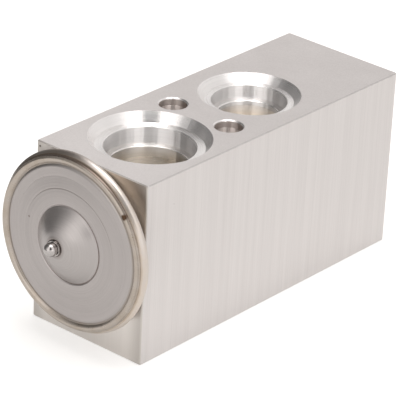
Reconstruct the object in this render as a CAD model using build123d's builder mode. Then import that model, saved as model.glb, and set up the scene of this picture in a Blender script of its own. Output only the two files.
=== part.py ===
"""Block-type refrigerant expansion valve with a screwed-on diaphragm head.

An extruded aluminium block carries a through suction passage, two liquid ports and a stepped bore on one long
axis. The diaphragm head screws into the front end of that bore and drives a rod, a ball and a spring that
throttle the liquid. A screw in the rear end sets the spring.

Frame, in millimetres: the origin is midway between the two bolt holes on the line-side face, which the valve
also rests on. +Z points to the evaporator-side face, and +Y runs along the block from the diaphragm head to
the adjusting screw.
"""

import os
from math import sqrt

from build123d import *

# ---------------------------------------------------------------- driving dimensions

# Block
block_length = 88.0
block_width = 32.8
block_height = 44.0
corner_radius = 0.6
face_edge_break = 0.25
head_face_distance = 36.3  # bolt holes to the face that carries the head
axis_height = 26.3  # valve axis above the line-side face

# Bolt holes, which pass right through
bolt_pitch = 16.6
bolt_hole_radius = 3.25
bolt_hole_break = 0.3

# Ports: a shallow cone for the seal ring, a flat ledge, a pilot bore and the passage below it
port_pitch = 34.2
port_edge_break = 0.2
ledge_fall = 0.2  # the ledge under a pilot bore falls this much towards the passage
suction_cone_radius = 14.0
suction_ledge_radius = 12.4
suction_cone_depth = 2.2
suction_pilot_radius = 10.4
suction_pilot_depth = 6.3
suction_passage_radius = 9.2

outlet_cone_radius = 12.0
outlet_ledge_radius = 10.35
outlet_cone_depth = 1.7
outlet_pilot_radius = 8.75
outlet_pilot_depth = 4.9
outlet_passage_radius = 7.3
outlet_passage_depth = 9.6

inlet_cone_radius = 9.8
inlet_ledge_radius = 8.5
inlet_cone_depth = 1.5
inlet_pilot_radius = 7.15
inlet_pilot_depth = 4.6
inlet_passage_radius = 5.9
inlet_passage_depth = 9.0

# Drillings that join the liquid ports to the valve axis
outlet_drill_radius = 3.0
outlet_drill_offset = 4.1  # towards the head
inlet_drill_radius = 2.2
inlet_drill_offset = 3.55  # towards the adjusting screw
drill_tip_depth = 0.4

# Head, screwed into the block by its neck. A rise is measured outwards from the block's head face.
neck_thread_radius = 10.9
neck_length = 6.8
neck_bore_radius = 7.5
neck_bore_spare = 0.5
neck_end_chamfer = 0.5
gas_bore_radius = 7.0
thread_clearance = 0.05
head_seal_section = 0.9
head_seal_squeeze_gap = 0.05
hex_across_flats = 27.0
collar_rise = 1.7
flange_back_rise = 3.28
flange_rise = 4.7
sheet_edge_radius = 20.3  # both covers and the diaphragm end here, under the weld
clamp_width = 3.1
cup_wall_run = 1.8
cup_back_step = 1.0
cup_back_run = 1.4
weld_reach = 0.85
weld_height = 2.44

diaphragm_thickness = 0.2
diaphragm_wave_setback = 1.3
diaphragm_wave_depth = 0.35
diaphragm_wave_width = 1.5

lid_thickness = 0.95
lid_rim_width = 1.9
lid_rim_rise = 6.65
lid_rim_shoulder = 0.55
lid_crease_rise = 6.15
lid_ring_setback = 2.5
lid_ring_rise = 6.4
lid_ring_pitch = 2.8
lid_inner_ring_rise = 6.65
dome_base_radius = 9.05
dome_base_rise = 6.95
dome_groove_depth = 0.15
dome_groove_width = 0.4
dome_shoulder_radius = 3.4
dome_shoulder_rise = 10.35
dome_land_radius = 2.4
dome_land_rise = 10.7

charge_hole_radius = 1.0
charge_hole_countersink = 0.15
charge_ball_radius = 1.6
charge_weld_width = 0.85
charge_weld_height = 0.4

# Moving stack
valve_lift = 1.0
rest_opening = 0.5
end_gap = 0.03  # left free at each end of the travel
contact_gap = 0.02  # between pieces that only press on each other
running_clearance = 0.05
stopper_edge_gap = 0.8
stopper_thickness = 1.2
stopper_edge_radius = 0.4
stopper_boss_radius = 5.0
stopper_boss_length = 5.0
stopper_socket_depth = 4.0
sensing_rod_radius = 2.6
sensing_rod_entry = 2.6  # how far it reaches into the seal bore
sensing_rod_chamfer = 0.3
push_rod_radius = 1.2
push_rod_socket_depth = 1.2
push_rod_chamfer = 0.2

# Seal round the push rod
seal_bore_depth = 6.3
seal_clearance = 0.05
retainer_thickness = 0.4
retainer_ring_radius = 2.1
retainer_tooth_count = 6
retainer_tooth_width = 0.7

# Seat, ball and spring chamber
orifice_radius = 1.9
seat_cone_width = 0.7
seat_y = 18.4
ball_radius = 2.8
chamber_radius = 5.6
carrier_radius = 3.6
carrier_front_offset = 0.65  # behind the ball's centre
carrier_length = 3.0
carrier_flange_radius = 4.8
carrier_flange_thickness = 1.1
carrier_spigot_radius = 3.35
carrier_spigot_length = 3.0
carrier_chamfer = 0.3
damper_thickness = 0.25
damper_leg_length = 3.4
damper_leg_width = 2.2
damper_leg_count = 4
damper_wall_gap = 0.1
spring_wire_radius = 0.55
spring_mean_radius = 4.2
spring_turns = 4.5

# Adjusting screw
screw_thread_radius = 6.95
screw_length = 9.4
screw_recess = 3.0
screw_travel = 1.0
screw_stop_gap = 0.3
screw_pocket_radius = 5.0
screw_pocket_depth = 3.2
screw_hex_across_flats = 6.0
screw_hex_depth = 4.2
screw_hex_chamfer = 0.4
screw_groove_width = 1.6
screw_groove_depth = 1.2
screw_groove_offset = 1.2
screw_chamfer = 0.5
screw_mouth_chamfer = 0.8

# ---------------------------------------------------------------- worked out from them

head_face_y = -head_face_distance
rear_face_y = head_face_y + block_length
suction_y = -port_pitch / 2
liquid_y = port_pitch / 2
outlet_drill_y = liquid_y - outlet_drill_offset
inlet_drill_y = liquid_y + inlet_drill_offset

neck_bore_end_y = head_face_y + neck_length + neck_bore_spare
neck_bore_wall_radius = neck_thread_radius + thread_clearance
seal_pocket_depth = 2 * head_seal_section + head_seal_squeeze_gap
seal_pocket_radius = neck_bore_wall_radius + 2 * (head_seal_section + head_seal_squeeze_gap)

seal_bore_y = suction_y + suction_passage_radius
seal_bore_end_y = seal_bore_y + seal_bore_depth
seal_bore_radius = sensing_rod_radius + running_clearance
rod_bore_radius = push_rod_radius + running_clearance
rod_seal_section = (seal_bore_radius - push_rod_radius) / 2 - seal_clearance
rod_seal_y = seal_bore_end_y - seal_clearance - rod_seal_section
retainer_y = rod_seal_y - rod_seal_section - seal_clearance - retainer_thickness

seat_cone_start_y = seat_y - seat_cone_width
seat_cone_radius = orifice_radius + seat_cone_width
screw_bore_radius = screw_thread_radius + running_clearance
screw_rear_y = rear_face_y - screw_recess
screw_front_y = screw_rear_y - screw_length
chamber_end_y = screw_front_y - screw_travel - screw_stop_gap
spring_seat_y = screw_front_y + screw_pocket_depth
screw_groove_end_y = screw_rear_y - screw_groove_offset
screw_groove_radius = screw_thread_radius - screw_groove_depth
screw_seal_section = (screw_bore_radius - screw_groove_radius) / 2 - seal_clearance

# A ball on a 45 degree cone touches it this far behind the cone's start.
ball_closed_y = seat_cone_start_y - orifice_radius + ball_radius * sqrt(2)
ball_y = ball_closed_y + rest_opening
carrier_front_y = ball_y + carrier_front_offset
carrier_flange_y = carrier_front_y + carrier_length
carrier_back_y = carrier_flange_y + carrier_flange_thickness
spring_front_y = carrier_back_y + damper_thickness

stopper_top_rise = flange_rise - contact_gap
stopper_bottom_rise = stopper_top_rise - stopper_thickness
cup_floor_rise = stopper_bottom_rise - (valve_lift - rest_opening) - end_gap
boss_end_rise = stopper_bottom_rise - stopper_boss_length
sensing_rod_front_rise = boss_end_rise + stopper_socket_depth
sensing_rod_end_y = seal_bore_y + sensing_rod_entry
push_rod_front_y = sensing_rod_end_y - push_rod_socket_depth
push_rod_end_y = ball_y - ball_radius - contact_gap

cup_mouth_radius = sheet_edge_radius - clamp_width
cup_floor_radius = cup_mouth_radius - cup_wall_run
flange_back_radius = cup_mouth_radius + cup_back_step
cup_back_radius = flange_back_radius - cup_back_run
stopper_radius = cup_floor_radius - stopper_edge_gap
diaphragm_wave_radius = cup_mouth_radius - diaphragm_wave_setback
lid_flange_rise = flange_rise + diaphragm_thickness
lid_rim_inner_radius = sheet_edge_radius - lid_rim_width
lid_ring_radius = lid_rim_inner_radius - lid_ring_setback
lid_inner_ring_radius = lid_ring_radius - lid_ring_pitch
weld_front_rise = flange_back_rise + weld_height
charge_hole_mouth_radius = charge_hole_radius + charge_hole_countersink
charge_ball_rise = dome_land_rise - charge_hole_mouth_radius + charge_ball_radius * sqrt(2) + contact_gap

valve_axis = Axis((0, 0, axis_height), (0, 1, 0))
# Half sections of turned pieces: local x runs along the valve axis, local y is the radius.
axial_plane = Plane(origin=(0, 0, axis_height), x_dir=(0, 1, 0), z_dir=(1, 0, 0))
upright_plane = Plane.YZ  # local x is Y, local y is Z
from_bottom = (Align.CENTER, Align.CENTER, Align.MIN)


def rise(distance):
    """Y of a point that stands out from the block's head face by this distance."""
    return head_face_y - distance


def cross_plane(y):
    """Plane across the valve axis at y, facing the adjusting screw."""
    return Plane(origin=(0, y, axis_height), x_dir=(-1, 0, 0), z_dir=(0, 1, 0))


def turn(*points):
    """Solid of revolution about the valve axis from (y, radius) points."""
    with BuildSketch(axial_plane) as section:
        with BuildLine():
            Polyline(*points, close=True)
        make_face()
    revolve(section.sketch, axis=valve_axis)


def seal_ring(centre_y, centre_radius, section):
    """O-ring about the valve axis."""
    with BuildSketch(axial_plane) as ring:
        with Locations((centre_y, centre_radius)):
            Circle(section)
    revolve(ring.sketch, axis=valve_axis)


def cut_port(y, face_z, inward, cone, ledge, pilot, passage):
    """Cut a stepped port from face_z along inward (+1 or -1).

    cone is (radius, depth), ledge is the radius of its floor, pilot and passage are (radius, depth).
    """
    steps = (
        (0, 0),
        (cone[0], 0),
        (ledge, cone[1]),
        (pilot[0] + port_edge_break, cone[1]),
        (pilot[0], cone[1] + port_edge_break),
        (pilot[0], pilot[1]),
        (passage[0] + port_edge_break, pilot[1] + ledge_fall),
        (passage[0], pilot[1] + ledge_fall + port_edge_break),
        (passage[0], passage[1]),
        (0, passage[1] + drill_tip_depth),
    )
    with BuildSketch(upright_plane) as section:
        with BuildLine():
            Polyline(*[(y + radius, face_z + inward * depth) for radius, depth in steps], close=True)
        make_face()
    revolve(section.sketch, axis=Axis((0, y, 0), (0, 0, 1)), mode=Mode.SUBTRACT)


# ---------------------------------------------------------------- valve block

with BuildPart() as valve_block:
    with BuildSketch(Plane.XY):
        with Locations((0, head_face_y + block_length / 2)):
            RectangleRounded(block_width, block_length, corner_radius)
    extrude(amount=block_height)
    outlines = valve_block.faces().filter_by(Axis.Z).edges()
    chamfer(outlines, face_edge_break)

    # Suction passage: the same stepped port from both faces, meeting in the middle
    for face_z, inward in ((0, 1), (block_height, -1)):
        cut_port(
            suction_y, face_z, inward,
            cone=(suction_cone_radius, suction_cone_depth),
            ledge=suction_ledge_radius,
            pilot=(suction_pilot_radius, suction_pilot_depth),
            passage=(suction_passage_radius, block_height / 2),
        )

    # Liquid ports: outlet on the evaporator side, inlet on the line side
    cut_port(
        liquid_y, block_height, -1,
        cone=(outlet_cone_radius, outlet_cone_depth),
        ledge=outlet_ledge_radius,
        pilot=(outlet_pilot_radius, outlet_pilot_depth),
        passage=(outlet_passage_radius, outlet_passage_depth),
    )
    cut_port(
        liquid_y, 0, 1,
        cone=(inlet_cone_radius, inlet_cone_depth),
        ledge=inlet_ledge_radius,
        pilot=(inlet_pilot_radius, inlet_pilot_depth),
        passage=(inlet_passage_radius, inlet_passage_depth),
    )

    # Drillings from the liquid ports to the valve axis, one each side of the seat
    outlet_drill_floor = axis_height - outlet_drill_radius
    with Locations((0, outlet_drill_y, outlet_drill_floor)):
        Cylinder(
            outlet_drill_radius,
            block_height - outlet_passage_depth - outlet_drill_floor,
            align=from_bottom,
            mode=Mode.SUBTRACT,
        )
    inlet_drill_top = axis_height - orifice_radius - inlet_drill_radius
    with Locations((0, inlet_drill_y, inlet_passage_depth)):
        Cylinder(
            inlet_drill_radius,
            inlet_drill_top - inlet_passage_depth,
            align=from_bottom,
            mode=Mode.SUBTRACT,
        )

    # Bolt holes, with both mouths broken
    with GridLocations(bolt_pitch, bolt_pitch, 2, 1):
        Cylinder(bolt_hole_radius, block_height, align=from_bottom, mode=Mode.SUBTRACT)
    bolt_mouths = valve_block.edges(Select.LAST).filter_by(GeomType.CIRCLE)
    chamfer(bolt_mouths, bolt_hole_break)

    # The stepped bore on the valve axis, from the head's neck to the adjusting screw
    with BuildSketch(axial_plane):
        with BuildLine():
            Polyline(
                (head_face_y, 0),
                (head_face_y, seal_pocket_radius),
                (head_face_y + seal_pocket_depth, seal_pocket_radius),
                (head_face_y + seal_pocket_depth, neck_bore_wall_radius),
                (neck_bore_end_y, neck_bore_wall_radius),
                (neck_bore_end_y, gas_bore_radius),
                (suction_y, gas_bore_radius),
                (suction_y, seal_bore_radius),
                (seal_bore_end_y, seal_bore_radius),
                (seal_bore_end_y, rod_bore_radius),
                (outlet_drill_y, rod_bore_radius),
                (outlet_drill_y, orifice_radius),
                (seat_cone_start_y, orifice_radius),
                (seat_y, seat_cone_radius),
                (seat_y, chamber_radius),
                (chamber_end_y, chamber_radius),
                (chamber_end_y, screw_bore_radius),
                (rear_face_y - screw_mouth_chamfer, screw_bore_radius),
                (rear_face_y, screw_bore_radius + screw_mouth_chamfer),
                (rear_face_y, 0),
                close=True,
            )
        make_face()
    revolve(axis=valve_axis, mode=Mode.SUBTRACT)

# ---------------------------------------------------------------- diaphragm head

with BuildPart() as lower_cover:
    # Threaded neck, shallow cup and a flat flange
    turn(
        (rise(flange_rise), sheet_edge_radius),
        (rise(flange_rise), cup_mouth_radius),
        (rise(cup_floor_rise), cup_floor_radius),
        (rise(cup_floor_rise), neck_bore_radius),
        (rise(-neck_length), neck_bore_radius),
        (rise(-neck_length), neck_thread_radius - neck_end_chamfer),
        (rise(-neck_length + neck_end_chamfer), neck_thread_radius),
        (rise(collar_rise), neck_thread_radius),
        (rise(collar_rise), cup_back_radius),
        (rise(flange_back_rise), flange_back_radius),
        (rise(flange_back_rise), sheet_edge_radius),
    )
    # Hexagonal collar for the spanner, seated on the block
    with BuildSketch(cross_plane(rise(collar_rise))):
        RegularPolygon(hex_across_flats / 2, 6, major_radius=False)
        Circle(neck_thread_radius, mode=Mode.SUBTRACT)
    extrude(amount=collar_rise)

with BuildPart() as head_seal:
    seal_ring(
        head_face_y + seal_pocket_depth / 2,
        neck_bore_wall_radius + head_seal_squeeze_gap + head_seal_section,
        head_seal_section,
    )

with BuildPart() as diaphragm:
    # Flat sheet with one round corrugation just inside the clamped edge
    half_wave = diaphragm_wave_width / 2
    with BuildSketch(axial_plane):
        with BuildLine():
            for skin_rise in (flange_rise, lid_flange_rise):
                Line((rise(skin_rise), 0), (rise(skin_rise), diaphragm_wave_radius - half_wave))
                ThreePointArc(
                    (rise(skin_rise), diaphragm_wave_radius - half_wave),
                    (rise(skin_rise - diaphragm_wave_depth), diaphragm_wave_radius),
                    (rise(skin_rise), diaphragm_wave_radius + half_wave),
                )
                Line((rise(skin_rise), diaphragm_wave_radius + half_wave), (rise(skin_rise), sheet_edge_radius))
            for edge_radius in (0, sheet_edge_radius):
                Line((rise(flange_rise), edge_radius), (rise(lid_flange_rise), edge_radius))
        make_face()
    revolve(axis=valve_axis)

with BuildPart() as upper_cover:
    # Pressed lid: rounded rim, shallow cone with two faint rings, and a conical centre with a charging hole
    rim_shoulder_rise = lid_rim_rise - lid_rim_shoulder
    dome_foot_radius = dome_base_radius - dome_groove_width
    with BuildSketch(axial_plane):
        with BuildLine():
            Line((rise(lid_flange_rise), sheet_edge_radius), (rise(rim_shoulder_rise), sheet_edge_radius))
            ThreePointArc(
                (rise(rim_shoulder_rise), sheet_edge_radius),
                (rise(lid_rim_rise), sheet_edge_radius - lid_rim_width / 2),
                (rise(lid_crease_rise), lid_rim_inner_radius),
            )
            Polyline(
                (rise(lid_crease_rise), lid_rim_inner_radius),
                (rise(lid_ring_rise), lid_ring_radius),
                (rise(lid_inner_ring_rise), lid_inner_ring_radius),
                (rise(dome_base_rise), dome_base_radius + dome_groove_width),
                (rise(dome_base_rise - dome_groove_depth), dome_base_radius),
                (rise(dome_base_rise), dome_foot_radius),
                (rise(dome_shoulder_rise), dome_shoulder_radius),
            )
            TangentArc(
                (rise(dome_shoulder_rise), dome_shoulder_radius),
                (rise(dome_land_rise), dome_land_radius),
                tangent=(dome_base_rise - dome_shoulder_rise, dome_shoulder_radius - dome_foot_radius),
            )
            Polyline(
                (rise(dome_land_rise), dome_land_radius),
                (rise(dome_land_rise), charge_hole_mouth_radius),
                (rise(dome_land_rise - charge_hole_countersink), charge_hole_radius),
                (rise(dome_land_rise - lid_thickness), charge_hole_radius),
                (rise(dome_land_rise - lid_thickness), dome_land_radius),
                (rise(dome_shoulder_rise - lid_thickness), dome_shoulder_radius),
                (rise(dome_base_rise - lid_thickness), dome_foot_radius),
                (rise(lid_inner_ring_rise - lid_thickness), lid_inner_ring_radius),
                (rise(lid_flange_rise), cup_mouth_radius),
                (rise(lid_flange_rise), sheet_edge_radius),
            )
        make_face()
    revolve(axis=valve_axis)

with BuildPart() as rim_weld:
    # Round weld run over the edges of both covers and the diaphragm between them
    with BuildSketch(axial_plane):
        with BuildLine():
            ThreePointArc(
                (rise(flange_back_rise), sheet_edge_radius),
                (rise(flange_back_rise + weld_height / 2), sheet_edge_radius + weld_reach),
                (rise(weld_front_rise), sheet_edge_radius),
            )
            Line((rise(weld_front_rise), sheet_edge_radius), (rise(flange_back_rise), sheet_edge_radius))
        make_face()
    revolve(axis=valve_axis)

with BuildPart() as charge_plug:
    # Ball that closes the charging hole, with its weld flash on the land round the hole
    with Locations((0, rise(charge_ball_rise), axis_height)):
        Sphere(charge_ball_radius)
    turn(
        (rise(dome_land_rise), charge_hole_mouth_radius),
        (rise(dome_land_rise), charge_hole_mouth_radius + charge_weld_width),
        (rise(dome_land_rise + charge_weld_height), charge_hole_mouth_radius + charge_weld_width / 2),
        (rise(charge_ball_rise), charge_hole_radius),
    )

# ---------------------------------------------------------------- moving stack

with BuildPart() as stopper:
    # Disc under the diaphragm, with a boss that holds the sensing rod
    turn(
        (rise(stopper_top_rise), 0),
        (rise(stopper_top_rise), stopper_radius),
        (rise(stopper_bottom_rise), stopper_radius),
        (rise(stopper_bottom_rise), stopper_boss_radius),
        (rise(boss_end_rise), stopper_boss_radius),
        (rise(boss_end_rise), sensing_rod_radius + contact_gap),
        (rise(sensing_rod_front_rise + contact_gap), sensing_rod_radius + contact_gap),
        (rise(sensing_rod_front_rise + contact_gap), 0),
    )
    stopper_rim = stopper.edges().filter_by(GeomType.CIRCLE).group_by(SortBy.RADIUS)[-1]
    fillet(stopper_rim, stopper_edge_radius)

with BuildPart() as sensing_rod:
    # Rod across the suction passage; it ends as a guide in the seal bore and holds the push rod
    turn(
        (rise(sensing_rod_front_rise), 0),
        (rise(sensing_rod_front_rise), sensing_rod_radius - sensing_rod_chamfer),
        (rise(sensing_rod_front_rise - sensing_rod_chamfer), sensing_rod_radius),
        (sensing_rod_end_y - sensing_rod_chamfer, sensing_rod_radius),
        (sensing_rod_end_y, sensing_rod_radius - sensing_rod_chamfer),
        (sensing_rod_end_y, push_rod_radius + contact_gap),
        (push_rod_front_y - contact_gap, push_rod_radius + contact_gap),
        (push_rod_front_y - contact_gap, 0),
    )

with BuildPart() as push_rod:
    turn(
        (push_rod_front_y, 0),
        (push_rod_front_y, push_rod_radius - push_rod_chamfer),
        (push_rod_front_y + push_rod_chamfer, push_rod_radius),
        (push_rod_end_y - push_rod_chamfer, push_rod_radius),
        (push_rod_end_y, push_rod_radius - push_rod_chamfer),
        (push_rod_end_y, 0),
    )

with BuildPart() as valve_ball:
    with Locations((0, ball_y, axis_height)):
        Sphere(ball_radius)

with BuildPart() as ball_carrier:
    # Cup for the ball, a flange for the spring and a spigot inside it
    spigot_end_y = carrier_back_y + carrier_spigot_length
    turn(
        (carrier_front_y, 0),
        (carrier_front_y, carrier_radius),
        (carrier_flange_y, carrier_radius),
        (carrier_flange_y, carrier_flange_radius),
        (carrier_back_y, carrier_flange_radius),
        (carrier_back_y, carrier_spigot_radius),
        (spigot_end_y - carrier_chamfer, carrier_spigot_radius),
        (spigot_end_y, carrier_spigot_radius - carrier_chamfer),
        (spigot_end_y, 0),
    )
    with Locations((0, ball_y, axis_height)):
        Sphere(ball_radius + contact_gap, mode=Mode.SUBTRACT)

with BuildPart() as damper_spring:
    # Leaf ring behind the carrier's flange; its legs reach forward along the chamber wall
    leg_radius = chamber_radius - damper_wall_gap
    leg_front_y = spring_front_y - damper_leg_length
    turn(
        (spring_front_y, carrier_spigot_radius + contact_gap),
        (spring_front_y, leg_radius),
        (leg_front_y, leg_radius),
        (leg_front_y, leg_radius - damper_thickness),
        (carrier_back_y, leg_radius - damper_thickness),
        (carrier_back_y, carrier_spigot_radius + contact_gap),
    )
    with BuildSketch(cross_plane(leg_front_y)):
        Circle(carrier_flange_radius)
        with PolarLocations(0, damper_leg_count):
            Rectangle(leg_radius + damper_wall_gap, damper_leg_width, align=(Align.MIN, Align.CENTER))
    extrude(amount=damper_leg_length, mode=Mode.INTERSECT)

with BuildPart() as valve_spring:
    # Coil between the damper ring and the adjusting screw, its end turns ground flat
    spring_length = spring_seat_y - contact_gap - spring_front_y
    spring_pitch = spring_length / spring_turns
    with BuildLine() as coil:
        Helix(
            pitch=spring_pitch,
            height=spring_length,
            radius=spring_mean_radius,
            center=(0, spring_front_y, axis_height),
            direction=(0, 1, 0),
        )
    with BuildSketch(Plane(origin=coil.line @ 0, z_dir=coil.line % 0)):
        Circle(spring_wire_radius)
    sweep(path=coil.line, is_frenet=True)
    with BuildSketch(cross_plane(spring_front_y)):
        Circle(spring_mean_radius + 2 * spring_wire_radius)
    extrude(amount=spring_length, mode=Mode.INTERSECT)

# ---------------------------------------------------------------- push rod seal

with BuildPart() as rod_seal:
    seal_ring(rod_seal_y, (push_rod_radius + seal_bore_radius) / 2, rod_seal_section)

with BuildPart() as seal_retainer:
    # Push-in ring with teeth that bite on the bore
    with BuildSketch(cross_plane(retainer_y)):
        Circle(retainer_ring_radius)
        with PolarLocations(0, retainer_tooth_count):
            Rectangle(seal_bore_radius, retainer_tooth_width, align=(Align.MIN, Align.CENTER))
        Circle(seal_bore_radius, mode=Mode.INTERSECT)
        Circle(push_rod_radius + running_clearance, mode=Mode.SUBTRACT)
    extrude(amount=retainer_thickness)

# ---------------------------------------------------------------- adjusting screw

with BuildPart() as adjusting_screw:
    # Threaded plug: spring pocket in front, seal groove and hexagon socket behind
    turn(
        (screw_front_y, screw_pocket_radius),
        (screw_front_y, screw_thread_radius - screw_chamfer),
        (screw_front_y + screw_chamfer, screw_thread_radius),
        (screw_groove_end_y - screw_groove_width, screw_thread_radius),
        (screw_groove_end_y - screw_groove_width, screw_groove_radius),
        (screw_groove_end_y, screw_groove_radius),
        (screw_groove_end_y, screw_thread_radius),
        (screw_rear_y - screw_chamfer, screw_thread_radius),
        (screw_rear_y, screw_thread_radius - screw_chamfer),
        (screw_rear_y, 0),
        (spring_seat_y, 0),
        (spring_seat_y, screw_pocket_radius),
    )
    with BuildSketch(cross_plane(screw_rear_y)):
        RegularPolygon(screw_hex_across_flats / 2, 6, major_radius=False)
    extrude(amount=-screw_hex_depth, mode=Mode.SUBTRACT)

with BuildPart() as screw_seal:
    seal_ring(
        screw_groove_end_y - screw_groove_width / 2,
        (screw_groove_radius + screw_bore_radius) / 2,
        screw_seal_section,
    )

# ---------------------------------------------------------------- export

pieces = {
    "valve_block": valve_block,
    "lower_cover": lower_cover,
    "head_seal": head_seal,
    "diaphragm": diaphragm,
    "upper_cover": upper_cover,
    "rim_weld": rim_weld,
    "charge_plug": charge_plug,
    "stopper": stopper,
    "sensing_rod": sensing_rod,
    "push_rod": push_rod,
    "rod_seal": rod_seal,
    "seal_retainer": seal_retainer,
    "valve_ball": valve_ball,
    "ball_carrier": ball_carrier,
    "damper_spring": damper_spring,
    "valve_spring": valve_spring,
    "adjusting_screw": adjusting_screw,
    "screw_seal": screw_seal,
}

os.makedirs("parts", exist_ok=True)
for name, piece in pieces.items():
    piece.part.label = name
    export_step(piece.part, f"parts/{name}.step")
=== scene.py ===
"""Looks for a block-type refrigerant expansion valve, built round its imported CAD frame.

Shapes are written in millimetres with the frame's own axes: Z from the line side to the evaporator side,
Y from the diaphragm head to the adjusting screw. Colours are linear red, green, blue and alpha.
"""

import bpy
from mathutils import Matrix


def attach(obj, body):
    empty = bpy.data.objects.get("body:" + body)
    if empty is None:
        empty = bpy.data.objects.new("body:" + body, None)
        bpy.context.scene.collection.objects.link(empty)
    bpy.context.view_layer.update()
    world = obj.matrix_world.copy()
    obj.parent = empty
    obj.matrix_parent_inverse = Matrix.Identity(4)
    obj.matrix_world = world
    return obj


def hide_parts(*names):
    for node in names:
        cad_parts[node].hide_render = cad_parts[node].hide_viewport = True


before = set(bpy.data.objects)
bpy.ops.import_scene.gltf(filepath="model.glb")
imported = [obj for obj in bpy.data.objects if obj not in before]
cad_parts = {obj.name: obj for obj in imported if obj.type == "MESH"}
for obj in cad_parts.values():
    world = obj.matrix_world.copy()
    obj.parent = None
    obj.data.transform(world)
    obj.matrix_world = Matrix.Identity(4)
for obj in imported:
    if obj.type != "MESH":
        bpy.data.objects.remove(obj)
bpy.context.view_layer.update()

import bpy
import numpy as np
from math import pi, radians
from mathutils import Matrix, Vector

MM = 0.001  # metres in a millimetre

# ---------------------------------------------------------------- sizes shared with the solids

HEAD_FACE_Y = -36.3
REAR_FACE_Y = 51.7
SIDE_FACE_X = 16.4
BLOCK_TOP_Z = 44.0
BLOCK_MIDDLE_Z = BLOCK_TOP_Z / 2
AXIS_Z = 26.3
SUCTION_Y = -17.1
LIQUID_Y = 17.1
BOLT_X = 8.3
SHEET_EDGE_RADIUS = 20.3
CHARGE_HOLE_RADIUS = 1.0
DOME_FOOT_RADIUS = 8.65
DOME_TOP_RADIUS = 2.4
DOME_SHIFT = (-0.41, 0.54)  # the lid's pressed centre sits this far off the axis, across and up

# ---------------------------------------------------------------- places of finishes and marks

# Two numbers are where a mask starts and where it is full. Three are from, to and softness, or for a spot
# its place across and up, and its size.
SIDE_SKIN = (SIDE_FACE_X - 0.6, SIDE_FACE_X - 0.5)
HEAD_END_SKIN = (HEAD_FACE_Y + 0.55, HEAD_FACE_Y + 0.45)
REAR_END_SKIN = (REAR_FACE_Y - 0.55, REAR_FACE_Y - 0.45)
PORT_FACE_DEPTH = (0.12, 0.05)
LEVEL = (0.97, 0.995)  # how far up a port face's normal points
UPRIGHT = (0.35, 0.1)  # how far up a bore wall's normal points
SLOPING = (0.2, 0.95, 0.05)
BOLT_HOLE_RADIUS = (3.75, 3.65)
BOLT_HOLE_SHADE_DEPTH = (0.15, 0.6)
PILOT_DEPTH = (1.9, 6.3, 0.1)
PASSAGE_ROUGH_DEPTH = (6.2, 6.6)
PASSAGE_COLOUR_DEPTH = (5.5, 9.5)
HEAD_END_FACE = (HEAD_FACE_Y + 0.3, HEAD_FACE_Y + 0.1)
# Painted shade on the head end grows over this span across, out to its side edges.
HEAD_END_SHADE_X = (11.5, 16.2)
CORNER_DENT_SPOT = (-15.35, 42.75, 0.34)

LID_RIM = (18.3, 18.9)
LID_TINT_START = (17.9, 18.5)
LID_CREASE = (18.35, 18.72, 0.3)
LID_DOME = (9.2, 8.8)
LID_FOOT_LINE = (8.98, 9.14, 0.07)
LID_TURNED_LINE = (12.98, 13.08, 0.06)
LID_SEAM = (20.12, 20.34)
LID_PIT_SPOT = (-11.9, 2.75, 0.34)
LID_RUST_SPOT = (15.6, 12.3, 0.9)
# Painted shade on the lid round the charging ball's flash: a broad darkening and a dark line at the flash's
# foot.
FLASH_SURROUND_SHADE = (2.9, 2.2)
FLASH_FOOT_SHADE_LINE = (1.85, 2.12, 0.1)
SEAM_SHADE_HEIGHT = (4.0, 19.0)  # painted shade in the seam under the weld grows towards the head's top
WELD_SEAM_RISE = (5.45, 5.75)
FLASH_GAP = (1.3, 1.48, 0.08)
FLASH_FOOT = (1.74, 1.84)
FLASH_RISE = (11.5, 11.1)

# ---------------------------------------------------------------- colours

DRAWN_DARK, DRAWN_LIGHT = (0.71, 0.675, 0.662, 1), (0.95, 0.915, 0.902, 1)
# Painted reflection on the block's head end: a warm tint and a lighter sheen that stand in for the
# heat-coloured head in front of it.
HEAD_END_WARM_REFLECTION, HEAD_END_PAINTED_SHEEN = (1.0, 0.98, 0.945, 1), (1.0, 0.96, 0.91, 1)
# Painted shade on the head end towards its side edges.
HEAD_END_EDGE_SHADE = (0.36, 0.33, 0.30, 1)
BORE_MOUTH, BORE_DEEP = (0.96, 0.94, 0.93, 1), (0.96, 0.89, 0.80, 1)
# Painted shade inside the bolt holes.
BOLT_HOLE_PAINTED_SHADE = (0.66, 0.595, 0.56, 1)
EDGE_SHADE = (0.2, 0.19, 0.185, 1)
BLOCK_PIT = (0.25, 0.22, 0.2, 1)
CORNER_DENT = (0.10, 0.08, 0.07, 1)
PLATE_DARK, PLATE_LIGHT = (0.446, 0.415, 0.404, 1), (0.506, 0.472, 0.460, 1)
DOME_STEEL = (0.495, 0.465, 0.453, 1)
RIM_DULLING = (0.74, 0.745, 0.75, 1)
CREASE_BROWN = (0.16, 0.13, 0.105, 1)
# Lid grime, and painted shade in its groove, seam and round the ball's flash.
LID_GRIME_AND_SHADE = (0.15, 0.11, 0.09, 1)
LID_RUST = (0.10, 0.06, 0.038, 1)
# Painted shade where the weld meets the lid, and a painted dark reflection on its upper side.
WELD_PAINTED_SHADE = (0.14, 0.105, 0.08, 1)
WELD_PIT = (0.16, 0.11, 0.08, 1)
BALL_DARK, BALL_LIGHT = (0.42, 0.395, 0.385, 1), (0.60, 0.57, 0.555, 1)
# Painted shade in the gap between ball and flash and at the flash's foot.
BALL_GAP_SHADE = (0.10, 0.08, 0.07, 1)
RUBBER_DARK, RUBBER_BLOOM = (0.025, 0.045, 0.035, 1), (0.06, 0.10, 0.08, 1)

OXIDE_COLOURS = (
    (0.0, (0.64, 0.60, 0.575, 1)),
    (0.3, (0.68, 0.60, 0.525, 1)),
    (0.55, (0.56, 0.47, 0.38, 1)),
    (0.8, (0.32, 0.25, 0.19, 1)),
    (1.0, (0.15, 0.115, 0.09, 1)),
)

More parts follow.
